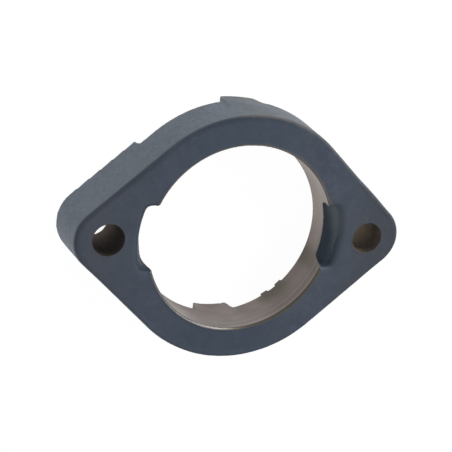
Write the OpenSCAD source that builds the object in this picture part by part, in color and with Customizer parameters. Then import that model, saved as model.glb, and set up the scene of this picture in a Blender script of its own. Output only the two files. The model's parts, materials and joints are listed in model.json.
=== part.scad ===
// Two-bolt flanged bearing housing, one machined casting.
// The bore axis is Z, the bolt holes lie on X and the mounting plane is z = 0.
// The visible face, where the insert bearing is loaded, is up.

/* [Spherical seat] */
// Diameter of the spherical seat that the insert bearing swivels in
seat_d = 52; // [47:0.5:56]
// Width of the ring round the seat, from its back face to the visible face
ring_w = 12.6; // [11:0.1:15]
// How far the centre of the seat lies behind the middle of the ring
seat_offset = 0.6; // [0:0.1:1.2]
// Radial size of the chamfer where the seat opens to the visible face
seat_chamfer = 0.45; // [0.2:0.05:0.8]
// Size of the broken edge at the back of the seat
seat_break = 0.1; // [0.1:0.05:0.4]

/* [Flange] */
// Wall between the seat and the outside of the ring, at the visible face
ring_wall = 7.4; // [6.5:0.1:10]
// Distance between the centres of the two bolt holes
bolt_spacing = 72.4; // [70:0.1:90]
// Diameter of the bolt holes
bolt_hole_d = 8.4; // [6.6:0.1:11]
// Size of the chamfer at both ends of a bolt hole
hole_chamfer = 0.1; // [0.1:0.1:0.8]
// Radius of the rounded end of an ear round its bolt hole, at the visible face
ear_r = 9; // [8.5:0.1:12]
// Draft of the outer wall in degrees, which makes the mounting side wider
draft_angle = 2; // [1:0.5:5]
// Rounding of the outer edge of the visible face
edge_r = 0.75; // [0.4:0.05:1.6]

/* [Mounting side] */
// Height of the ear lands and pads above the back face of the ring
land_h = 2.7; // [1:0.1:3.5]
// Distance from the equator of the seat to the straight inner edges of the ear lands
land_setback = 0.3; // [0.1:0.1:2]
// Draft of the walls round the recess and of the -X ends of the pads, in degrees
recess_draft = 12; // [5:1:20]
// Width of the two pads above and below the bore, at the mounting plane
pad_w = 9.2; // [8:0.1:14]
// Shift of both pads from the bore axis, as cast
pad_shift = -0.4; // [-1:0.1:1]
// Slope of the +X ends of the pads, in degrees from the bore axis
pad_slope = 30; // [12:1:40]
// How far the pads stand out beyond the ring at the mounting plane
pad_proud = 0.6; // [0.3:0.1:1]

/* [Loading slots] */
// Width of a loading slot at the visible face, below its soft edge
slot_w = 17; // [15:0.1:19]
// Depth of a slot along the bore axis, to where its floor meets the seat
slot_h = 7.3; // [5:0.1:8.5]
// How far the floor of a slot lies outside the seat, at the visible face
slot_relief = 2.3; // [1.2:0.1:3]
// Draft of the side walls of a slot, in degrees
slot_draft = 4; // [2:0.5:8]
// Radius of the corners between the floor and the side walls of a slot
slot_corner_r = 1.5; // [1:0.1:3]
// Width of the soft edge round a slot on the visible face
slot_edge = 0.6; // [0.3:0.1:1]
// Depth of that soft edge
slot_edge_h = 1.2; // [0.6:0.1:2]
// Shift of both slots from the line through the bolt holes, as cast
slot_shift = 0.3; // [-1:0.1:1]

/* [Foundry marks] */
// Height of the two raised bars on the back face of the ring
mark_h = 0.8; // [0.4:0.1:1]
// Width of a bar
mark_w = 2.2; // [1.5:0.1:3]
// Length of a bar, from the edge of the seat outwards
mark_l = 4; // [2.5:0.1:5]
// Directions of the two bars round the bore axis, in degrees
mark_angles = [305, 315.5];

/* [Hidden] */
$fn = 128;
edge_steps = 5;
corner_steps = 6;
floor_steps = 6;
// Cutters reach this far past the faces that they open
past = 1;
// A flank lies this far inside the tangent of ring and ear, so that the walls cross cleanly
flank_sink = 0.02;
// The upper end of a pad's flare lies this far inside the ring's wall
flare_sink = 0.2;
// The lower end of a slot's soft edge lies this far inside the slot's walls
edge_sink = 0.05;

total_h = ring_w + land_h;
seat_r = seat_d / 2;
seat_z = land_h + ring_w / 2 - seat_offset;
ring_r = seat_r + ring_wall;
ear_x = bolt_spacing / 2;
// Direction and length of the straight flanks, which run along the tangent of ring and ear
flank_angle = acos((ring_r - ear_r) / ear_x);
flank_l = ear_x * sin(flank_angle);
land_x = seat_r + land_setback;
pad_left = pad_shift - pad_w / 2;
pad_right = pad_shift + pad_w / 2;

// How much wider the drafted outside is at height z than at the visible face
function grow(z) = (total_h - z) * tan(draft_angle);

// Radius of the spherical seat at height z
function seat_radius(z) = sqrt(pow(seat_r, 2) - pow(z - seat_z, 2));

// Half profile of the rim of radius r: drafted wall, rounded upper edge
module rim_profile(r) {
    arc_x = r + edge_r * tan(draft_angle) - edge_r / cos(draft_angle);
    arc_z = total_h - edge_r;
    arc = [
        for (i = [0 : edge_steps])
            let (a = draft_angle + (90 - draft_angle) * i / edge_steps)
            [arc_x + edge_r * cos(a), arc_z + edge_r * sin(a)]
    ];
    polygon(concat([[0, 0], [r + grow(0), 0]], arc, [[0, total_h]]));
}

// Solid flange: the ring, two ears and the four straight flanks between them
module flange_blank() {
    rotate_extrude() rim_profile(ring_r);
    for (side = [-1, 1])
        translate([side * ear_x, 0, 0]) rotate_extrude() rim_profile(ear_r);
    for (mx = [0, 1], my = [0, 1])
        mirror([mx, 0, 0]) mirror([0, my, 0])
            rotate([90, 0, flank_angle]) linear_extrude(flank_l) rim_profile(ring_r - flank_sink);
}

// Outer ends of the pads, which flare out from the ring towards the mounting plane.
// They are as wide as the pads are half way up from the plane to the ring's back face.
module pad_flares() {
    flare_h = total_h - 2 * edge_r;
    left = pad_left - land_h / 2 * tan(recess_draft);
    right = pad_right + land_h / 2 * tan(pad_slope);
    foot = ring_r + grow(0) + pad_proud;
    head = ring_r + grow(flare_h) - flare_sink;
    intersection() {
        cylinder(h = flare_h, r1 = foot, r2 = head);
        translate([left, -2 * foot, 0]) cube([right - left, 4 * foot, flare_h]);
    }
}

// Cone that opens an edge of the seat at height z by size, upwards or downwards
module edge_chamfer(z, up, size) {
    inner = seat_radius(z - up * size);
    translate([0, 0, z - up * (size + past)])
        mirror([0, 0, up > 0 ? 0 : 1])
            cylinder(h = size + 2 * past, r1 = inner - past, r2 = inner + size + past);
}

// The spherical seat with its opened edges at the visible face and on the pads
module seat_cut() {
    translate([0, 0, seat_z]) sphere(r = seat_r);
    edge_chamfer(total_h, 1, seat_chamfer);
    edge_chamfer(0, -1, seat_break);
}

// Bar along Y from left to right at z = 0, whose sides lean outwards by so much per unit of height
module drafted_bar(left, right, left_lean, right_lean, low, high) {
    reach = 2 * ring_r;
    translate([0, reach, 0]) rotate([90, 0, 0]) linear_extrude(2 * reach)
        polygon([
            [left - low * left_lean, low], [right + low * right_lean, low],
            [right + high * right_lean, high], [left - high * left_lean, high]
        ]);
}

// Recess across the mounting side, which leaves the ear lands and the two pads
module recess_cut() {
    lean = tan(recess_draft);
    recess_x = land_x + land_h * lean;
    difference() {
        union() {
            drafted_bar(-recess_x, recess_x, -lean, -lean, -past, land_h);
            edge_chamfer(land_h, -1, seat_break);
        }
        drafted_bar(pad_left, pad_right, lean, tan(pad_slope), -2 * past, seat_z);
    }
}

// Plan outline of the slot on the +X side: side walls, round corners, curved floor
function slot_outline(floor_r, half_w) =
    let (
        corner_y = half_w - slot_corner_r,
        centre_r = floor_r - slot_corner_r,
        corner_x = sqrt(pow(centre_r, 2) - pow(corner_y, 2)),
        turn = atan2(corner_y, corner_x)
    )
    concat(
        [[seat_r / 2, -half_w]],
        [for (i = [0 : corner_steps]) let (a = -90 + (90 - turn) * i / corner_steps)
            [corner_x + slot_corner_r * cos(a), -corner_y + slot_corner_r * sin(a)]],
        [for (i = [1 : floor_steps - 1]) let (a = -turn + 2 * turn * i / floor_steps)
            [floor_r * cos(a), floor_r * sin(a)]],
        [for (i = [0 : corner_steps]) let (a = turn + (90 - turn) * i / corner_steps)
            [corner_x + slot_corner_r * cos(a), corner_y + slot_corner_r * sin(a)]],
        [[seat_r / 2, half_w]]
    );

// Floor radius and half width of the sloping pocket at height z
function slot_floor(z) = seat_r + slot_relief * (1 - (total_h - z) / slot_h);
function slot_half(z) = slot_w / 2 - (total_h - z) * tan(slot_draft);

// Part of a slot from height low to height high, larger all round by the given margins
module slot_part(low, high, low_margin, high_margin) {
    low_floor = slot_floor(low) + low_margin;
    low_half = slot_half(low) + low_margin;
    taper = [(slot_floor(high) + high_margin) / low_floor, (slot_half(high) + high_margin) / low_half];
    translate([0, slot_shift, low])
        linear_extrude(high - low, scale = taper, slices = 1, segments = 0)
            polygon(slot_outline(low_floor, low_half));
}

// One loading slot: a sloping pocket, and the soft edge that widens it at the face
module slot_cut() {
    slot_part(total_h - slot_h - past, total_h + past, 0, 0);
    slot_part(total_h - slot_edge_h, total_h + past, -edge_sink,
        slot_edge + (slot_edge + edge_sink) * past / slot_edge_h);
}

// Bolt hole along Z with a chamfer at each end
module bolt_hole() {
    hole_r = bolt_hole_d / 2;
    translate([0, 0, -past]) cylinder(h = total_h + 2 * past, r = hole_r);
    translate([0, 0, -past])
        cylinder(h = past + hole_chamfer, r1 = hole_r + hole_chamfer + past, r2 = hole_r);
    translate([0, 0, total_h - hole_chamfer])
        cylinder(h = past + hole_chamfer, r1 = hole_r, r2 = hole_r + hole_chamfer + past);
}

// Plain raised bars on the back face of the ring
module foundry_marks() {
    for (a = mark_angles)
        rotate([0, 0, a])
            translate([seat_radius(land_h), -mark_w / 2, land_h - mark_h])
                cube([mark_l, mark_w, mark_h + past]);
}

module housing() {
    color("slategray") difference() {
        union() {
            difference() {
                union() {
                    flange_blank();
                    pad_flares();
                }
                recess_cut();
            }
            foundry_marks();
        }
        seat_cut();
        for (turn = [0, 180])
            mirror([turn / 180, 0, 0]) slot_cut();
        for (side = [-1, 1])
            translate([side * bolt_spacing / 2, 0, 0]) bolt_hole();
    }
}

housing();
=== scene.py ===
import json
import math

import bmesh
import bpy
import numpy as np
from mathutils import Matrix, Vector


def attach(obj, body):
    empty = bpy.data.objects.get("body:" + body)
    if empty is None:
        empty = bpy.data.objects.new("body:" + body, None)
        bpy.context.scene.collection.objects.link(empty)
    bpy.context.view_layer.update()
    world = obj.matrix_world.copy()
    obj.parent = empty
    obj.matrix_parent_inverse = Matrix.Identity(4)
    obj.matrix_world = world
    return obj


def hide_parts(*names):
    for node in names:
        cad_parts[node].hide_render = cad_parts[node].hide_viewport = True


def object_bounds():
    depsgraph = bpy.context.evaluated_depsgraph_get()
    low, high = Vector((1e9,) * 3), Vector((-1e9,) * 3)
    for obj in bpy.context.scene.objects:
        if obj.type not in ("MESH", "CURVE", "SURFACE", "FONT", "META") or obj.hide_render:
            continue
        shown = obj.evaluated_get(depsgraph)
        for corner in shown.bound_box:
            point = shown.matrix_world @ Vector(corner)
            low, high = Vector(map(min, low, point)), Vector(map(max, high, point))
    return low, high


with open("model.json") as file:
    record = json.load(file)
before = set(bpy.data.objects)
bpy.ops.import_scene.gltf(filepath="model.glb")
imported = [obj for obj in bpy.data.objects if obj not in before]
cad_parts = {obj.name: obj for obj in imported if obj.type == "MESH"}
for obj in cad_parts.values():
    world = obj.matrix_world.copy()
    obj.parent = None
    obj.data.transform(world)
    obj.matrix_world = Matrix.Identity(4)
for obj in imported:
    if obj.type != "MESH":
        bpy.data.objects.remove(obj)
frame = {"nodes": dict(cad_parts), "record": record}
cad_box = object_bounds()

MM = 0.001
mounts = {mount["name"]: mount for mount in frame["record"]["mounts"]}

# The machined surfaces, in millimetres, as the solid has them
TOP_Z = cad_box[1][2] / MM
SEAT_Z = mounts["insert_seat"]["pos_m"][2] / MM
CHAMFER = 0.45
BACK_BREAK = 0.1
HOLE_R = mounts["bolt_holes"]["dims"]["hole_r_mm"]
HOLE_X = mounts["bolt_holes"]["dims"]["spacing_x_mm"] / 2
HOLE_CHAMFER = 0.1

# The cast shape, in millimetres, as the solid has it
LAND_H = 2.7
PAD_SEAT_HALF_W = 5.0
RING_R = 33.4
EAR_R = 9
SLOT_H = 7.3
SLOT_EDGE_H = 1.2
SLOT_REACH = 3.2
SLOT_HALF_W = 9.3
SLOT_SHIFT = 0.3
SLOT_SOFT_FROM = 3.2
SLOT_SOFT_FULL = 2

# The mesh of the visible casting, with lengths in millimetres and the angle in degrees
VOXEL = 0.25
MOST_FACES = 196000
SNAP = 0.14
MERGE = 0.1
SHARP_ANGLE = 50
EDGE_ROUNDS = 5
SLOT_EDGE_ROUNDS = 22
RISE_ROUNDS = 12

# Where the cast skin is: a face looks down if its normal's height is below FACING_DOWN,
# and the skin grows from nothing to full between two distances from the machined surfaces.
FACING_DOWN = -0.6
FACING_DOWN_AT_SEAT = -0.3
LAND_BELOW = 0.12
SKIN_FROM = 0.2
SKIN_FULL = 0.6

# The uneven skin: height and size of the lumps in millimetres, and a seed
BROAD_SKIN = [(0.03, 9, 1), (0.022, 3.1, 2)]
FINE_SKIN = [(0.014, 1.1, 3), (0.008, 0.55, 4)]
SKIN_DROP = 0.005
FACE_DROP = 0.05
CREASE_DEPTH = 0.1
CREASE_HALF_W = 0.4
CREASE_BELOW_EDGE = 0.3
CREASE_WAVE = (0.35, 2.2, 5)

# A sector round the bore is its middle, half its width and its fade, in degrees.
# Here each follows the amount in millimetres by which the casting leaves the solid there.
OUTLINE_GROWTH = [(0.13, (272, 45, 30)), (0.22, (9, 9, 12))]
BACK_DROP = [(0.22, (262, 44, 8)), (0.2, (224, 10, 8))]

# The pads' outer ends, which follow the ring's wall more closely than the solid's do
PAD_END = 33.97
PAD_END_MIDDLE = -2
PAD_END_CURVE = 0.012
PAD_HALF_W = 9
PAD_FROM_Y = 33

# Only the edge of the left slot shows, so its depth and the painted shade of its crease count for
# more there
LEFT_SLOT_DEPTH_GAIN = 2.2
LEFT_SLOT_RIM_SHADE = 1.25

# Sectors in which the finish differs, or in which shade or highlights are painted
UPPER_LEFT_EDGE = (128, 52, 12)
UPPER_RIGHT_WEAR = (65, 25, 15)
UPPER_LEFT_WEAR = (118, 22, 15)
# Painted highlight on the lip's lower left
LIP_HIGHLIGHT = (246, 16, 14)
LIP_LOWER_RIGHT = (305, 38, 16)
# Painted highlight on the seat's upper right
SEAT_HIGHLIGHT = (30, 22, 16)
# Brown painted shade on the seat's lower right
BROWN_SHADE_SECTOR = (-36, 14, 22)
# Painted shade on the seat beside one slot and round the foundry bars
SHADE_BY_SLOT = (-20, 2, 7)
SHADE_BY_BARS = (-50, 5, 10)


def read_points(mesh):
    """The mesh's vertices as an array of points."""
    points = np.empty(len(mesh.vertices) * 3)
    mesh.vertices.foreach_get("co", points)
    return points.reshape(-1, 3)


def write_points(mesh, points):
    mesh.vertices.foreach_set("co", points.astype(np.float32).ravel())
    mesh.update()


def read_normals(mesh):
    normals = np.empty(len(mesh.vertices) * 3)
    mesh.vertex_normals.foreach_get("vector", normals)
    return normals.reshape(-1, 3)


def read_edges(mesh):
    edges = np.empty(len(mesh.edges) * 2, dtype=np.int64)
    mesh.edges.foreach_get("vertices", edges)
    return edges.reshape(-1, 2)


def merge_close(mesh, chosen):
    """Makes one vertex of chosen ones that lie together, where a trim has pressed them flat."""
    cells = bmesh.new()
    cells.from_mesh(mesh)
    cells.verts.ensure_lookup_table()
    together = [cells.verts[i] for i in np.flatnonzero(chosen)]
    bmesh.ops.remove_doubles(cells, verts=together, dist=MERGE)
    cells.to_mesh(mesh)
    cells.free()


def with_modifier(obj, kind, **settings):
    """Adds one modifier to the object, and makes its result the object's mesh."""
    modifier = obj.modifiers.new(kind.title(), kind)
    for name, value in settings.items():
        setattr(modifier, name, value)
    shown = obj.evaluated_get(bpy.context.evaluated_depsgraph_get())
    mesh = bpy.data.meshes.new_from_object(shown)
    obj.modifiers.clear()
    old = obj.data
    obj.data = mesh
    bpy.data.meshes.remove(old)


def smooth_step(value, low, high):
    t = np.clip((value - low) / (high - low), 0, 1)
    return t * t * (3 - 2 * t)


def cloud(points, size, seed):
    """Smooth noise from -1 to 1 over the points, whose lumps are about that size."""
    random = np.random.default_rng(seed)
    cells = 64
    lattice = random.uniform(-1, 1, (cells, cells, cells))
    turn, _ = np.linalg.qr(random.normal(size=(3, 3)))
    place = points @ turn / size
    corner = np.floor(place).astype(int)
    t = place - corner
    t = t * t * (3 - 2 * t)
    total = np.zeros(len(points))
    for dx in (0, 1):
        for dy in (0, 1):
            for dz in (0, 1):
                at = (corner + (dx, dy, dz)) % cells
                near = np.abs(1 - np.array((dx, dy, dz)) - t)
                share = near[:, 0] * near[:, 1] * near[:, 2]
                total += share * lattice[at[:, 0], at[:, 1], at[:, 2]]
    return total


def clouds(points, layers):
    """Sum of the noise of several layers, each with its height, size and seed."""
    return sum(height * cloud(points, size, seed) for height, size, seed in layers)


def blurred(values, edges, rounds):
    """The vertices' values, each moved halfway to its neighbours' mean, several times over."""
    count = np.bincount(edges.ravel(), minlength=len(values))
    columns = values.reshape(len(values), -1).copy()
    for _ in range(rounds):
        for column in columns.T:
            total = np.bincount(edges[:, 0], column[edges[:, 1]], len(values))
            total += np.bincount(edges[:, 1], column[edges[:, 0]], len(values))
            column += 0.5 * (total / count - column)
    return columns.reshape(values.shape)


def sector(points, middle, half, fade):
    """Share from 0 to 1 of each point in the sector round the bore centred on middle degrees."""
    angle = np.degrees(np.arctan2(points[:, 1], points[:, 0]))
    away = np.abs((angle - middle + 180) % 360 - 180)
    return 1 - smooth_step(away, half, half + fade)


def sectors(points, parts):
    """Sum over several sectors, each with its own amount."""
    return sum(amount * sector(points, *place) for amount, place in parts)


def seat_radius(z, seat_r):
    """Radius of the bore's spherical seat at height z."""
    return np.sqrt(np.maximum(seat_r**2 - (z - SEAT_Z) ** 2, 0))


def machined_gaps(points, seat_r):
    """Each point's distance from the seat and its chamfer, and how far it is outside the holes."""
    x, y, z = points.T
    r = np.hypot(x, y)
    seat = np.hypot(r, z - SEAT_Z) - seat_r
    chamfer = r - (seat_radius(TOP_Z - CHAMFER, seat_r) + CHAMFER - (TOP_Z - z))
    seat = np.where(z > TOP_Z - CHAMFER, np.minimum(seat, chamfer), seat)
    hole = np.hypot(np.abs(x) - HOLE_X, y) - HOLE_R
    return np.abs(seat), hole


def snapped(points, seat_r):
    """Points near the machined surfaces, moved exactly onto them."""
    x, y, z = points.T
    offset = points - (0, 0, SEAT_Z)
    reach = np.linalg.norm(offset, axis=1)
    on_ball = (np.abs(reach - seat_r) < SNAP) & (z < TOP_Z - CHAMFER)
    on_pad = (np.abs(x) < PAD_SEAT_HALF_W) & (z > BACK_BREAK)
    on_ball &= (z > LAND_H + BACK_BREAK) | on_pad
    on_seat = (0, 0, SEAT_Z) + offset * (seat_r / reach)[:, None]
    points = np.where(on_ball[:, None], on_seat, points)
    hole = np.hypot(np.abs(x) - HOLE_X, y)
    in_hole = (np.abs(hole - HOLE_R) < SNAP) & (z > HOLE_CHAMFER) & (z < TOP_Z - HOLE_CHAMFER)
    scale = HOLE_R / np.maximum(hole, 0.1)
    hole_x = np.sign(x) * (HOLE_X + (np.abs(x) - HOLE_X) * scale)
    points[:, 0] = np.where(in_hole, hole_x, points[:, 0])
    points[:, 1] = np.where(in_hole, y * scale, points[:, 1])
    return points


def slot_depth(points, seat_r):
    """Depth below the visible face of the points on the floor and sides of the loading slots."""
    x, y, z = points.T
    r = np.hypot(x, y)
    depth = TOP_Z - z
    inside = (r - seat_radius(z, seat_r) > 0.1) & (r < seat_r + SLOT_REACH)
    inside &= (np.abs(y - SLOT_SHIFT) < SLOT_HALF_W) & (np.abs(x) > seat_r / 2)
    inside &= depth < SLOT_H + 0.4
    return np.where(inside, depth, 0)


def slot_ring(points, seat_r):
    """Share from 0 to 1 of each point in the soft edges of the loading slots."""
    x, y, z = points.T
    across = 1 - smooth_step(np.abs(y - SLOT_SHIFT), SLOT_HALF_W, SLOT_HALF_W + 1)
    out = 1 - smooth_step(np.hypot(x, y), seat_r + SLOT_REACH, seat_r + SLOT_REACH + 1)
    up = smooth_step(z, TOP_Z - SLOT_SOFT_FROM, TOP_Z - SLOT_SOFT_FULL)
    return across * out * up * (np.abs(x) > seat_r / 2)


def outline_gap(points):
    """How far inside the visible face's outline each point lies, seen along the bore axis."""
    x, y = np.abs(points[:, 0]), np.abs(points[:, 1])
    turn = math.acos((RING_R - EAR_R) / HOLE_X)
    along = x * math.sin(turn) - y * math.cos(turn)
    flank = RING_R - x * math.cos(turn) - y * math.sin(turn)
    ring = RING_R - np.hypot(x, y)
    ear = EAR_R - np.hypot(x - HOLE_X, y)
    return np.where(along < 0, ring, np.where(along > HOLE_X * math.sin(turn), ear, flank))


def seat_shade_share(points):
    """Share of olive painted shade on the bare seat, beside one slot and round the foundry bars."""
    low = 1 - smooth_step(points[:, 2], LAND_H + 1, LAND_H + 7)
    by_slot = sector(points, *SHADE_BY_SLOT)
    by_bars = sector(points, *SHADE_BY_BARS) * low
    return np.clip(0.7 * by_slot + 0.8 * by_bars, 0, 1)


def brown_shade_share(points):
    """Share of brown painted shade on the bare seat, most of it near the face on the lower right.
    """
    near_face = smooth_step(points[:, 2], TOP_Z - 9, TOP_Z - 1)
    return np.clip(sector(points, *BROWN_SHADE_SECTOR) * (0.45 + 0.55 * near_face), 0, 1)


def soften_cast(points, normals, edges, seat_r):
    """Rounds the cast edges, and returns the share from 0 to 1 of cast skin at each point."""
    seat_gap, hole_gap = machined_gaps(points, seat_r)
    land = (points[:, 2] < LAND_BELOW) & (normals[:, 2] < FACING_DOWN)
    cast = smooth_step(np.minimum(seat_gap, np.abs(hole_gap)), SKIN_FROM, SKIN_FULL)
    cast *= blurred(np.where(land, 0.0, 1.0), edges, 2)
    soft = blurred(points, edges, EDGE_ROUNDS)
    softer = blurred(soft, edges, SLOT_EDGE_ROUNDS)
    soft += (softer - soft) * slot_ring(points, seat_r)[:, None]
    points += (soft - points) * cast[:, None]
    return cast


def roughen_cast(points, normals, edges, seat_r, cast):
    """Gives the cast skin its lumps, the slots' crease, a fuller outline and a lower back edge."""
    skin = clouds(points, BROAD_SKIN) + clouds(points, FINE_SKIN)
    crease_at = SLOT_EDGE_H + CREASE_BELOW_EDGE + clouds(points, [CREASE_WAVE])
    crease = np.exp(-(((slot_depth(points, seat_r) - crease_at) / CREASE_HALF_W) ** 2))
    crease *= smooth_step(points[:, 1], 5, 0)
    front = smooth_step(points[:, 2], 8, 13) * smooth_step(outline_gap(points), 1.6, 0.3)
    growth = front * sectors(points, OUTLINE_GROWTH)
    drop = FACE_DROP * np.maximum(normals[:, 2], 0)
    moved = (skin + growth - SKIN_DROP - drop - CREASE_DEPTH * crease) * cast
    points += normals * moved[:, None]

    up = normals[:, 2]
    over_bore = np.hypot(points[:, 0], points[:, 1]) < seat_r
    back = (points[:, 2] > LAND_H - 1) & (points[:, 2] < LAND_H + 0.3)
    back &= (up < FACING_DOWN) | ((up < FACING_DOWN_AT_SEAT) & over_bore)
    points[:, 2] -= sectors(points, BACK_DROP) * blurred(back.astype(float), edges, 1)


def trim_pads(points):
    """Cuts the pads' outer ends back, and returns which points that has pressed flat below."""
    x, y, z = points.T
    end = PAD_END - PAD_END_CURVE * (x - PAD_END_MIDDLE) ** 2
    on_pad = (np.abs(x) < PAD_HALF_W) & (np.abs(y) > PAD_FROM_Y)
    pressed = on_pad & (np.abs(y) > end) & (z < 0.2)
    points[:, 1] = np.where(on_pad, np.clip(y, -end, end), y)
    return pressed


def store(mesh, name, values):
    """Keeps one number for each vertex, which the material reads by its name."""
    layer = mesh.attributes.new(name, "FLOAT", "POINT")
    layer.data.foreach_set("value", values.astype(np.float32))


def store_finish(mesh, seat_r):
    """Keeps on each vertex what the material needs: what is bare, worn or dusty there, and where
    shade and highlights are painted.
    """
    points = read_points(mesh)
    up = read_normals(mesh)[:, 2]
    x, y, z = points.T
    seat_gap, hole_gap = machined_gaps(points, seat_r)
    store(mesh, "seat_gap", seat_gap)
    store(mesh, "hole_gap", hole_gap)
    store(mesh, "land_gap", z + 2 * np.maximum(up - FACING_DOWN, 0))

    depth = slot_depth(points, seat_r) * np.where(x < 0, LEFT_SLOT_DEPTH_GAIN, 1)
    # Painted shade, darker deeper in the slots and lower down
    dark = np.clip((depth - 0.25 * y + 0.4 * cloud(points, 1.6, 8) - 0.9) / 5.2, 0, 1)
    store(mesh, "slot_depth", depth)
    store(mesh, "slot_shade", dark * smooth_step(depth, 0.5, 1.6))
    store(mesh, "slot_rim_shade", np.where(x < 0, LEFT_SLOT_RIM_SHADE, 0.4 + 0.8 * smooth_step(y, 5, -2)))

    # Painted shade on the seat beside one slot and round the foundry bars
    store(mesh, "seat_shade", seat_shade_share(points))
    # Brown painted shade on the seat's lower right
    store(mesh, "seat_brown_shade", brown_shade_share(points))
    # Painted highlight on the seat's upper right
    store(mesh, "seat_highlight", sector(points, *SEAT_HIGHLIGHT) * (0.7 + 0.3 * cloud(points, 7, 9)))
    # Painted highlight on the lip's lower left
    store(mesh, "lip_highlight", sector(points, *LIP_HIGHLIGHT))
    store(mesh, "lip_lower_right", sector(points, *LIP_LOWER_RIGHT))

    store(mesh, "ends", smooth_step(np.abs(x), 20, 40))
    store(mesh, "middle", 1 - smooth_step(np.abs(x + 2), 8, 21))
    store(mesh, "right_end", smooth_step(x, 24, 41))
    store(mesh, "right", smooth_step(x, -5, 5))
    store(mesh, "wall", 1 - smooth_step(np.abs(up), 0.3, 0.8))

    # Below the front edge the gap is made too large for the painted shade and highlight along it
    store(mesh, "front_edge", outline_gap(points) + 9 * (z < TOP_Z - 1.5))
    # Where shade and a highlight are painted along the upper left front edge
    edge_shade_highlight = sector(points, *UPPER_LEFT_EDGE) * (0.7 + 0.3 * cloud(points, 6, 6))
    store(mesh, "edge_shade_highlight", edge_shade_highlight)
    patchy = smooth_step(cloud(points, 5, 7), -0.2, 0.4)
    left_wear = 0.5 * sector(points, *UPPER_LEFT_WEAR) * patchy
    store(mesh, "wear", np.maximum(sector(points, *UPPER_RIGHT_WEAR), left_wear))


def build_casting(node):
    """The visible casting: the solid with softened cast edges, an uneven skin and true bores."""
    casting = bpy.data.objects.new("housing_casting", node.data.copy())
    bpy.context.scene.collection.objects.link(casting)
    casting.data.transform(Matrix.Scale(1 / MM, 4))
    corners = read_points(casting.data)
    seat_r = np.linalg.norm(corners - (0, 0, SEAT_Z), axis=1).min()
    low, high = corners.min(axis=0), corners.max(axis=0)

    with_modifier(casting, "REMESH", mode="VOXEL", voxel_size=VOXEL)
    mesh = casting.data
    edges = read_edges(mesh)
    points = read_points(mesh)
    normals = read_normals(mesh)
    cast = soften_cast(points, normals, edges, seat_r)
    roughen_cast(points, normals, edges, seat_r, cast)
    points = np.clip(snapped(points, seat_r), low, high)
    pressed = trim_pads(points)
    write_points(mesh, points)
    merge_close(mesh, pressed)

    points = read_points(mesh)
    raised = points - blurred(points, read_edges(mesh), RISE_ROUNDS)
    store(mesh, "rise", (raised * read_normals(mesh)).sum(axis=1))
    faces = sum(len(polygon.vertices) - 2 for polygon in mesh.polygons)
    if faces > MOST_FACES:
        share = MOST_FACES / faces
        with_modifier(casting, "DECIMATE", ratio=share, use_collapse_triangulate=True)
    mesh = casting.data
    store_finish(mesh, seat_r)
    mesh.transform(Matrix.Scale(MM, 4))
    mesh.shade_smooth()
    mesh.set_sharp_from_angle(angle=math.radians(SHARP_ANGLE))
    return casting


class Nodes:
    """Short calls for building the nodes of one material or world."""

    def __init__(self, owner):
        owner.use_nodes = True
        self.owner = owner
        self.tree = owner.node_tree
        self.tree.nodes.clear()

    def add(self, kind, inputs=None, **settings):
        node = self.tree.nodes.new(kind)
        for name, value in settings.items():
            setattr(node, name, value)
        for name, value in (inputs or {}).items():
            if isinstance(value, bpy.types.NodeSocket):
                self.tree.links.new(value, node.inputs[name])
            else:
                node.inputs[name].default_value = value
        return node

    def math(self, operation, a, b=0.0, clamp=False):
        inputs = {0: a, 1: b}
        return self.add("ShaderNodeMath", inputs, operation=operation, use_clamp=clamp).outputs[0]

    def plus(self, a, b):
        return self.math("ADD", a, b)

    def minus(self, a, b):
        return self.math("SUBTRACT", a, b)

    def times(self, a, b):
        return self.math("MULTIPLY", a, b)

    def attribute(self, name):
        return self.add("ShaderNodeAttribute", attribute_name=name).outputs["Fac"]

    def noise(self, vector, scale, detail, roughness):
        inputs = {"Vector": vector, "Scale": scale, "Detail": detail, "Roughness": roughness}
        return self.add("ShaderNodeTexNoise", inputs).outputs["Fac"]

    def line(self, value, low, high, to_low, to_high, kind="LINEAR"):
        """The value with its range from low to high laid over another range."""
        inputs = {"Value": value, "From Min": low, "From Max": high}
        inputs.update({"To Min": to_low, "To Max": to_high})
        return self.add("ShaderNodeMapRange", inputs, interpolation_type=kind).outputs[0]

    def ramp(self, value, low, high, to_low=0.0, to_high=1.0):
        return self.line(value, low, high, to_low, to_high, "SMOOTHSTEP")

    def hump(self, value, rise, fall, top=1.0):
        """Grows from 0 to top over the first range, and goes back to 0 over the second."""
        return self.times(self.ramp(value, *rise, 0, top), self.ramp(value, *fall, 1, 0))

    def mix(self, factor, a, b):
        node = self.add("ShaderNodeMix", {0: factor}, data_type="RGBA")
        for socket, value in zip((node.inputs[6], node.inputs[7]), (a, b)):
            if isinstance(value, bpy.types.NodeSocket):
                self.tree.links.new(value, socket)
            else:
                socket.default_value = (*value, 1)
        return node.outputs[2]

    def mix_value(self, factor, a, b):
        return self.add("ShaderNodeMix", {0: factor, 2: a, 3: b}, data_type="FLOAT").outputs[0]


# Colours of the paint
PAINT = (0.092, 0.112, 0.154)
PAINT_DARK = (0.074, 0.092, 0.131)
PAINT_LIGHT = (0.106, 0.127, 0.172)
PAINT_OLIVE = (0.086, 0.106, 0.132)
PAINT_SAND = (0.112, 0.130, 0.152)
PAINT_GREY = (0.102, 0.114, 0.142)
PAINT_BLUE = (0.066, 0.091, 0.136)
PAINT_DIM = (0.064, 0.072, 0.084)
PAINT_DUST = (0.106, 0.112, 0.122)
# Wall colour, lighter than the face: coarser cast skin and painted light in one
PAINT_WALL_GRAIN_AND_LIGHT = (0.150, 0.176, 0.208)
PAINT_SLOT = (0.086, 0.103, 0.114)
# Painted shade colour of the slots
PAINT_SLOT_SHADE = (0.020, 0.036, 0.054)
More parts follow.
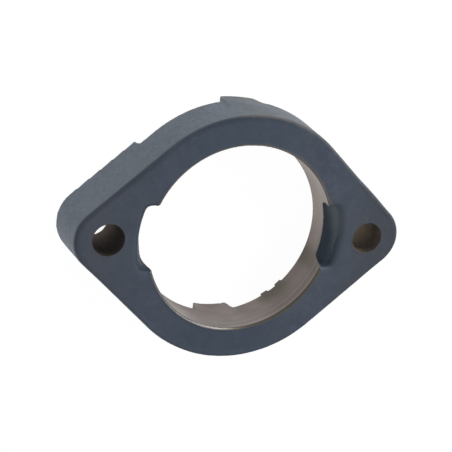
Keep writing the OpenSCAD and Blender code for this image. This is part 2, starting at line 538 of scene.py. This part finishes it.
# Painted highlight and painted shade colours for the upper left front edge
PAINT_CREST_HIGHLIGHT = (0.205, 0.215, 0.225)
PAINT_EDGE_SHADE = (0.038, 0.048, 0.067)
WORN = (0.150, 0.135, 0.118)
SPECK = (0.260, 0.215, 0.165)

# Colours of the bare metal
SEAT_IRON = (0.242, 0.208, 0.193)
SEAT_IRON_DARK = (0.186, 0.158, 0.147)
# Painted highlight colour of the seat
SEAT_HIGHLIGHT_IRON = (0.285, 0.240, 0.220)
# Brown painted shade on the seat's lower right
SEAT_SHADE_BROWN = (0.118, 0.092, 0.081)
# Olive painted shade beside one slot and round the foundry bars
SEAT_SHADE_OLIVE = (0.075, 0.070, 0.052)
# Painted highlight colour of the lip
LIP_HIGHLIGHT_IRON = (0.168, 0.156, 0.146)
LIP_GREY = (0.195, 0.180, 0.158)
LIP_OLIVE = (0.112, 0.101, 0.078)
LIP_LINE = (0.060, 0.054, 0.045)
# Painted shade and painted light colours of the bolt holes
HOLE_IRON = (0.034, 0.028, 0.024)
HOLE_IRON_LIT = (0.190, 0.135, 0.108)
HOLE_BROWN = (0.074, 0.062, 0.052)
HOLE_BROWN_LIT = (0.360, 0.305, 0.250)
LAND_IRON = (0.330, 0.310, 0.295)

# Bands round the seat: height and half width in millimetres, strength and colour
SEAT_BANDS = [
    (10.6, 0.35, 0.45, (0.270, 0.235, 0.215)),
    (12.2, 1.1, 0.35, (0.100, 0.080, 0.070)),
    (13.6, 0.5, 0.35, (0.250, 0.220, 0.200)),
    (14.5, 0.35, 0.55, (0.085, 0.068, 0.056)),
]

# The lip's border, in metres: half its width, and where the dark line along it starts to end
LIP_FADE = 0.00004
LIP_LINE_REACH = (0.00008, 0.0002)

# Heights in metres over which each bolt hole goes from its painted lit colour to its painted shaded
# one
HOLE_FADE_LEFT = (0.001, 0.0115)
HOLE_FADE_RIGHT = (0.0067, 0.0150)
HOLE_FADE_WOBBLE = 0.006

# The bump, in metres
BUMP_HEIGHT = 0.00008

# Noise patterns: scale, detail and roughness
SAND = (1900, 2, 0.6)
GRANULES = (1100, 3, 0.65)
LUMPS = (420, 3, 0.6)
DRILLED = (260, 2, 0.5)
TINT = (230, 2, 0.5)
CLOUDS = (70, 3, 0.55)
STREAKS = (2.6, 2, 0.5)
TURNING = (1.6, 3, 0.6)


def paint_color(nodes, place, sand, lumps):
    """Slate paint, mottled, coarser on the drafted walls and lighter there as painted light, with
    painted shade in the slots, painted shade and highlight along an edge, and worn in places.
    """
    wall = nodes.attribute("wall")
    wear = nodes.attribute("wear")
    clouded = nodes.noise(place, *CLOUDS)
    tint = nodes.noise(place, *TINT)
    granules = nodes.noise(place, *GRANULES)
    color = nodes.mix(nodes.ramp(clouded, 0.35, 0.65), PAINT_DARK, PAINT)
    color = nodes.mix(nodes.ramp(lumps, 0.42, 0.68, 0, 0.75), color, PAINT_LIGHT)
    color = nodes.mix(nodes.ramp(tint, 0.4, 0.65, 0, 0.5), color, PAINT_OLIVE)
    color = nodes.mix(nodes.times(nodes.attribute("ends"), 0.45), color, PAINT_GREY)
    color = nodes.mix(nodes.times(nodes.attribute("middle"), 0.5), color, PAINT_BLUE)
    color = nodes.mix(nodes.times(nodes.attribute("right_end"), 0.6), color, PAINT_DIM)
    grit = nodes.times(nodes.ramp(sand, 0.4, 0.7), nodes.mix_value(wall, 0.25, 0.6))
    color = nodes.mix(grit, color, PAINT_SAND)
    pits = nodes.times(nodes.ramp(sand, 0.28, 0.44, 1, 0), nodes.mix_value(wall, 0.55, 0.6))
    color = nodes.mix(pits, color, PAINT_DARK)
    # The walls' grain, lighter than the face: coarser cast skin and painted light in one
    wall_grain_and_light = nodes.times(nodes.ramp(granules, 0.36, 0.62, 0.52, 0.92), wall)
    color = nodes.mix(wall_grain_and_light, color, PAINT_WALL_GRAIN_AND_LIGHT)
    dust = nodes.times(nodes.times(wear, wall), nodes.ramp(tint, 0.35, 0.65, 0.25, 0.65))
    color = nodes.mix(dust, color, PAINT_DUST)

    jitter = nodes.times(nodes.minus(lumps, 0.5), 0.9)
    color = slot_color(nodes, color, jitter)
    color = edge_color(nodes, color, jitter)
    color = speckled(nodes, color, place)
    rise = nodes.plus(nodes.attribute("rise"), nodes.times(nodes.minus(lumps, 0.5), 0.06))
    worn = nodes.times(nodes.ramp(rise, 0.02, 0.07), nodes.mix_value(wear, 0.06, 0.6))
    return nodes.mix(worn, color, WORN)


def slot_color(nodes, color, jitter):
    """Painted shade in the loading slots: along their rim, on their floor and most of all at their
    lower deep end.
    """
    depth = nodes.plus(nodes.attribute("slot_depth"), jitter)
    # Painted shade along the slots' rim and crease
    rim = nodes.hump(depth, (0.1, 1.2), (1.4, 2.1), 0.68)
    rim = nodes.times(rim, nodes.attribute("slot_rim_shade"))
    color = nodes.mix(rim, color, PAINT_SLOT_SHADE)
    color = nodes.mix(nodes.ramp(depth, 1.2, 2.2, 0, 0.75), color, PAINT_SLOT)
    # Painted shade, strongest at the slots' lower deep end
    shadow = nodes.plus(nodes.attribute("slot_shade"), nodes.times(jitter, 0.12))
    return nodes.mix(nodes.ramp(shadow, 0.0, 0.8, 0, 0.92), color, PAINT_SLOT_SHADE)


def edge_color(nodes, color, jitter):
    """Painted shade as a dark line just inside the upper left front edge, and a painted highlight
    as a light one along its crest.
    """
    edge = nodes.plus(nodes.attribute("front_edge"), nodes.times(jitter, 0.2))
    edge_shade_highlight = nodes.attribute("edge_shade_highlight")
    # Painted shade just inside the edge
    dark = nodes.times(nodes.hump(edge, (0.12, 0.3), (0.45, 2.1)), edge_shade_highlight)
    color = nodes.mix(nodes.times(dark, 0.75), color, PAINT_EDGE_SHADE)
    # Painted highlight along the edge's crest
    crest_highlight = nodes.times(nodes.hump(edge, (-0.25, -0.02), (0.05, 0.2)), edge_shade_highlight)
    return nodes.mix(nodes.times(crest_highlight, 0.25), color, PAINT_CREST_HIGHLIGHT)


def speckled(nodes, color, place):
    """The colour with a few small rusty specks, in three cells out of ten."""
    spots = nodes.add("ShaderNodeTexVoronoi", {"Vector": place, "Scale": 110.0})
    draw = nodes.add("ShaderNodeSeparateColor", {0: spots.outputs["Color"]}).outputs[0]
    chosen = nodes.math("GREATER_THAN", draw, 0.7)
    speck = nodes.times(nodes.ramp(spots.outputs["Distance"], 0.02, 0.05, 0.8, 0), chosen)
    return nodes.mix(speck, color, SPECK)


def round_bore(nodes, axes, stretch):
    """A place for noise that is drawn out into rings round the bore, finer with more stretch."""
    angle = nodes.math("ARCTAN2", axes[1], axes[0])
    inputs = {"X": angle, "Z": nodes.times(axes[2], stretch)}
    return nodes.add("ShaderNodeCombineXYZ", inputs).outputs[0]


def seat_color(nodes, axes, turning):
    """Warm grey turned iron with broad streaks, painted shade and a painted highlight, and its lip,
    with a painted highlight on the lower left and darker on the lower right.
    """
    streaks = nodes.noise(round_bore(nodes, axes, 60), *STREAKS)
    seat = nodes.mix(nodes.ramp(streaks, 0.35, 0.65), SEAT_IRON_DARK, SEAT_IRON)
    seat = nodes.mix(nodes.ramp(turning, 0.35, 0.7, 0, 0.25), seat, SEAT_IRON_DARK)
    # Painted highlight on the seat's upper right
    seat = nodes.mix(nodes.attribute("seat_highlight"), seat, SEAT_HIGHLIGHT_IRON)
    # Brown painted shade on the seat's lower right
    seat = nodes.mix(nodes.times(nodes.attribute("seat_brown_shade"), 0.9), seat, SEAT_SHADE_BROWN)
    # Olive painted shade beside one slot and round the foundry bars
    seat = nodes.mix(nodes.times(nodes.attribute("seat_shade"), 0.75), seat, SEAT_SHADE_OLIVE)
    # Darker, olive lip and bands round the seat, on the lower right
    lower_right = nodes.attribute("lip_lower_right")
    for height, half, strength, tone in SEAT_BANDS:
        apart = nodes.math("ABSOLUTE", nodes.minus(axes[2], height * MM))
        band = nodes.times(nodes.ramp(apart, 0, half * MM, strength, 0), lower_right)
        seat = nodes.mix(band, seat, tone)

    # Painted highlight on the lip's lower left, where the dark line along the lip is left out
    bright = nodes.attribute("lip_highlight")
    lip = nodes.mix(lower_right, LIP_GREY, LIP_OLIVE)
    lip = nodes.mix(nodes.ramp(streaks, 0.4, 0.7, 0, 0.4), lip, LIP_LINE)
    lip = nodes.mix(bright, lip, LIP_HIGHLIGHT_IRON)
    edge = (TOP_Z - CHAMFER) * MM
    at_lip = nodes.ramp(axes[2], edge - LIP_FADE, edge + LIP_FADE)
    seat = nodes.mix(at_lip, seat, lip)
    away = nodes.math("ABSOLUTE", nodes.minus(axes[2], edge))
    line = nodes.times(nodes.ramp(away, *LIP_LINE_REACH, 0.7, 0), nodes.minus(1.0, bright))
    return nodes.mix(line, seat, LIP_LINE)


def hole_color(nodes, axes, place):
    """Brown drilled iron, with painted light deep in the hole and painted shade near its top,
    browner on the right side.
    """
    # Noise that makes the border between painted light and painted shade uneven
    fade_wobble = nodes.times(nodes.minus(nodes.noise(place, *DRILLED), 0.5), HOLE_FADE_WOBBLE)
    height = nodes.plus(axes[2], fade_wobble)
    left = nodes.mix(nodes.ramp(height, *HOLE_FADE_LEFT), HOLE_IRON_LIT, HOLE_IRON)
    right = nodes.mix(nodes.ramp(height, *HOLE_FADE_RIGHT), HOLE_BROWN_LIT, HOLE_BROWN)
    return nodes.mix(nodes.attribute("right"), left, right)


def housing_material():
    """Satin paint over cast iron, with bare metal in the seat, in the holes and on the lands."""
    nodes = Nodes(bpy.data.materials.new("painted_iron"))
    place = nodes.add("ShaderNodeTexCoord").outputs["Object"]
    axes = nodes.add("ShaderNodeSeparateXYZ", {0: place}).outputs
    sand = nodes.noise(place, *SAND)
    lumps = nodes.noise(place, *LUMPS)
    turning = nodes.noise(round_bore(nodes, axes, 3000), *TURNING)

    # Each gap is in millimetres, and the sand makes the paint's border uneven
    uneven = nodes.times(sand, 0.1)
    bare_seat = nodes.ramp(nodes.plus(nodes.attribute("seat_gap"), uneven), 0.12, 0.16, 1, 0)
    bare_hole = nodes.ramp(nodes.plus(nodes.attribute("hole_gap"), uneven), 0.1, 0.2, 1, 0)
    bare_land = nodes.ramp(nodes.plus(nodes.attribute("land_gap"), uneven), 0.1, 0.16, 1, 0)
    color = nodes.mix(bare_land, paint_color(nodes, place, sand, lumps), LAND_IRON)
    color = nodes.mix(bare_seat, color, seat_color(nodes, axes, turning))
    color = nodes.mix(bare_hole, color, hole_color(nodes, axes, place))

    bright = nodes.math("MAXIMUM", bare_seat, bare_land)
    bare = nodes.math("MAXIMUM", bright, bare_hole)
    metal = nodes.times(nodes.math("SUBTRACT", bright, bare_hole, True), 0.85)
    rough = nodes.mix_value(bright, nodes.ramp(lumps, 0.3, 0.7, 0.62, 0.5), 0.38)
    rough = nodes.mix_value(bare_hole, rough, 0.7)

    grit = nodes.times(sand, nodes.mix_value(nodes.attribute("wall"), 0.55, 1.0))
    fine = nodes.times(nodes.minus(1.0, bare), grit)
    rings = nodes.times(nodes.times(bare_seat, turning), 0.12)
    height = nodes.plus(fine, rings)
    inputs = {"Height": height, "Strength": 0.4, "Distance": BUMP_HEIGHT}
    bump = nodes.add("ShaderNodeBump", inputs)
    shader = nodes.add("ShaderNodeBsdfPrincipled", {
        "Base Color": color,
        "Metallic": metal,
        "Roughness": rough,
        "Normal": bump.outputs[0],
        "Specular IOR Level": 0.15,
    })
    nodes.add("ShaderNodeOutputMaterial", {"Surface": shader.outputs[0]})
    return nodes.owner


# Light, as shares of white
FLOOR_GLOW = 1.1
FLOOR_GLOW_ON_PART = 0.45
FLOOR_GLOW_SEEN = 0.88
LOW_LIGHT = 0.76
HIGH_LIGHT = 0.2
HIGH_FROM = 0.6
MIRRORED_LIGHT = 0.8

# Each lamp's name, place, size and power in watts, and what they all point at
LAMPS = [
    ("key", (0.55, 0.80, 0.27), 0.45, 5),
    ("side", (-0.92, -0.22, 0.15), 0.5, 2),
    ("front", (0.3, -0.2, 0.95), 0.7, 0.4),
    ("right", (0.19, 0.07, 0.16), 0.1, 0.165),
]
LAMP_AIM = (0, 0, 0.007)

# The floor, which lies just below the mounting faces at height 0
FLOOR_HALF = 3.0
FLOOR_Z = -0.00005

# The photograph's camera: where it stands, what it points at, and which way is up in the picture
CAMERA_AT = (-0.14680, 0.12519, 0.33951)
CAMERA_AIM = (-0.00511, 0.00370, 0.0153)
CAMERA_UP = (0.0045, 0.9371, -0.3491)
CAMERA_LENS = 116.15
CAMERA_SENSOR = 36


def floor_material():
    """A pale floor that a camera or a reflection sees as white, apart from the part's shadow."""
    nodes = Nodes(bpy.data.materials.new("floor"))
    path = nodes.add("ShaderNodeLightPath").outputs
    seen = nodes.math("ADD", path["Is Camera Ray"], path["Is Glossy Ray"], True)
    seen = nodes.math("ADD", seen, path["Is Transmission Ray"], True)
    lit = nodes.add("ShaderNodeBsdfDiffuse", {"Color": (0.8, 0.8, 0.8, 1)})
    white = nodes.add("ShaderNodeEmission", {"Color": (1, 1, 1, 1), "Strength": FLOOR_GLOW})
    share = nodes.ramp(seen, 0, 1, FLOOR_GLOW_ON_PART, FLOOR_GLOW_SEEN)
    mixed = nodes.add("ShaderNodeMixShader", {0: share, 1: lit.outputs[0], 2: white.outputs[0]})
    nodes.add("ShaderNodeOutputMaterial", {"Surface": mixed.outputs[0]})
    return nodes.owner


def add_floor():
    corners = [(-1, -1), (1, -1), (1, 1), (-1, 1)]
    mesh = bpy.data.meshes.new("floor")
    mesh.from_pydata([(x * FLOOR_HALF, y * FLOOR_HALF, 0) for x, y in corners], [], [(0, 1, 2, 3)])
    mesh.materials.append(floor_material())
    floor = bpy.data.objects.new("floor", mesh)
    floor.location.z = FLOOR_Z
    bpy.context.scene.collection.objects.link(floor)


def add_world():
    """White for the camera, near white in reflections, and dimmer on the part."""
    world = bpy.data.worlds.new("studio")
    bpy.context.scene.world = world
    nodes = Nodes(world)
    path = nodes.add("ShaderNodeLightPath").outputs
    seen = nodes.math("MAXIMUM", path["Is Camera Ray"], path["Is Transmission Ray"])
    direction = nodes.add("ShaderNodeTexCoord").outputs["Generated"]
    up = nodes.add("ShaderNodeSeparateXYZ", {0: direction}).outputs["Z"]
    glow = nodes.line(up, 0, HIGH_FROM, LOW_LIGHT, HIGH_LIGHT)
    strength = nodes.mix_value(path["Is Glossy Ray"], glow, MIRRORED_LIGHT)
    strength = nodes.mix_value(seen, strength, 1.0)
    inputs = {"Color": (1, 1, 1, 1), "Strength": strength}
    background = nodes.add("ShaderNodeBackground", inputs)
    nodes.add("ShaderNodeOutputWorld", {"Surface": background.outputs[0]})


def add_lamp(name, at, size, power):
    """A square soft light that points at the middle of the part."""
    data = bpy.data.lights.new(name, "AREA")
    data.size = size
    data.energy = power
    lamp = bpy.data.objects.new(name, data)
    lamp.location = at
    direction = Vector(LAMP_AIM) - Vector(at)
    lamp.rotation_euler = direction.to_track_quat("-Z", "Y").to_euler()
    bpy.context.scene.collection.objects.link(lamp)


def add_camera():
    """A camera where the photograph was taken from."""
    at = Vector(CAMERA_AT)
    back = (at - Vector(CAMERA_AIM)).normalized()
    right = Vector(CAMERA_UP).cross(back).normalized()
    turn = Matrix((right, back.cross(right), back)).transposed().to_4x4()
    data = bpy.data.cameras.new("camera")
    data.lens = CAMERA_LENS
    data.sensor_width = CAMERA_SENSOR
    camera = bpy.data.objects.new("camera", data)
    camera.matrix_world = Matrix.Translation(at) @ turn
    bpy.context.scene.collection.objects.link(camera)
    bpy.context.scene.camera = camera


add_camera()
add_floor()
add_world()
for lamp in LAMPS:
    add_lamp(*lamp)

housing = build_casting(frame["nodes"]["housing"])
housing.data.materials.clear()
housing.data.materials.append(housing_material())
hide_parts("housing")
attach(housing, "root")

bpy.context.scene.view_settings.view_transform = "Standard"
